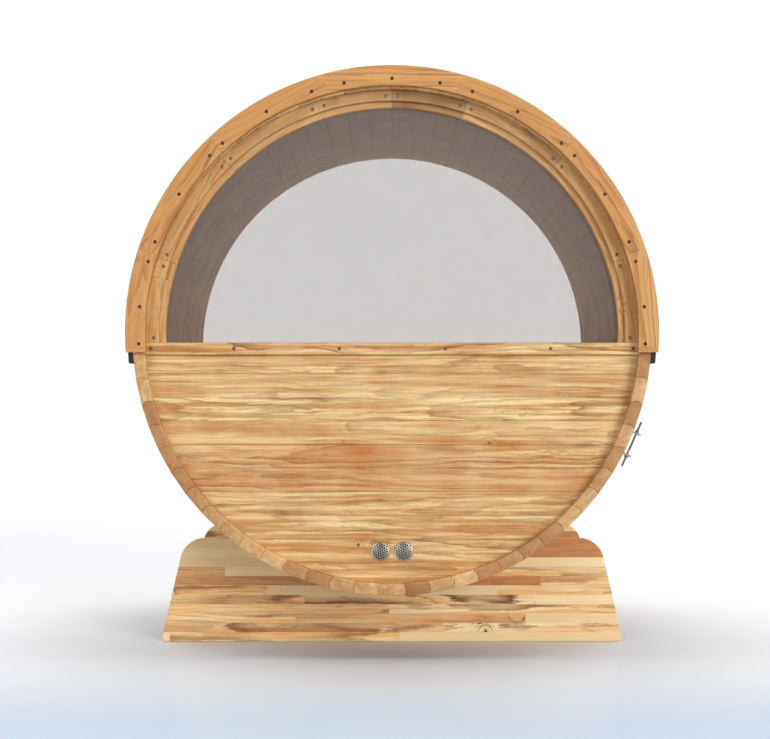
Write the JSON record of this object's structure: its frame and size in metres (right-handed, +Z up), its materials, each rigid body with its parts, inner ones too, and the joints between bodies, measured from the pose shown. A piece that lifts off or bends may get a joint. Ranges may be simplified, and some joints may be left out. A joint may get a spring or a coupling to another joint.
{
  "type": "barrel sauna",
  "caption": "Round stave hut on two cradles, with a half-moon window and board wall at one end, a glass front, shingle roof and steel hoops.",
  "frame": {"origin": "on the ground, at the middle of the base, midway between the two ends", "axes": "+Z up, Y along the barrel with the window end at -Y, X across"},
  "size_m": [1.844, 1.856, 2.061],
  "materials": {
    "stave_wood": "planed honey-coloured softwood with growth rings at the ends",
    "board_wood": "planed honey-coloured boards with strong grain",
    "frame_wood": "planed hardwood segments",
    "fascia_wood": "planed golden boards",
    "cradle_wood": "finger-jointed laminated board",
    "handle_wood": "turned and oiled",
    "vent_steel": "perforated stainless",
    "hoop_steel": "stainless strip and threaded rod",
    "tinted_glass": "bronze-grey tint",
    "clear_glass": "clear toughened",
    "roof_bitumen": "mineral-faced bitumen shingles",
    "eave_black": "black moulded drip edge"
  },
  "bodies": {
    "root": {"wall_segment_1": "stave_wood", "wall_segment_2": "stave_wood", "wall_segment_3": "stave_wood", "wall_segment_4": "stave_wood", "wall_segment_5": "stave_wood", "wall_segment_6": "stave_wood", "wall_segment_7": "stave_wood", "wall_segment_8": "stave_wood", "wall_segment_9": "stave_wood", "wall_segment_10": "stave_wood", "wall_segment_11": "stave_wood", "wall_segment_12": "stave_wood", "wall_segment_13": "stave_wood", "end_wall": "board_wood", "sill_rail": "board_wood", "window_frame_1": "frame_wood", "window_frame_2": "frame_wood", "window_frame_3": "frame_wood", "window_frame_4": "frame_wood", "window_frame_5": "frame_wood", "window_frame_6": "frame_wood", "window_frame_7": "frame_wood", "window_frame_8": "frame_wood", "fascia_board_1": "fascia_wood", "fascia_board_2": "fascia_wood", "fascia_board_3": "fascia_wood", "fascia_board_4": "fascia_wood", "fascia_board_5": "fascia_wood", "fascia_board_6": "fascia_wood", "fascia_board_7": "fascia_wood", "front_fascia": "fascia_wood", "vent_cover_left": "vent_steel", "vent_cover_right": "vent_steel", "window_glass": "tinted_glass", "side_glass_left": "clear_glass", "side_glass_right": "clear_glass", "door_glass": "clear_glass", "roof_cover": "roof_bitumen", "eave_trim_left": "eave_black", "eave_trim_right": "eave_black", "window_end_hoop": "hoop_steel", "front_hoop": "hoop_steel", "window_end_tension_rod": "hoop_steel", "front_tension_rod": "hoop_steel", "window_end_cradle": "cradle_wood", "front_cradle": "cradle_wood", "door_pivots": "hoop_steel", "door_handle": "handle_wood"}
  },
  "joints": []
}
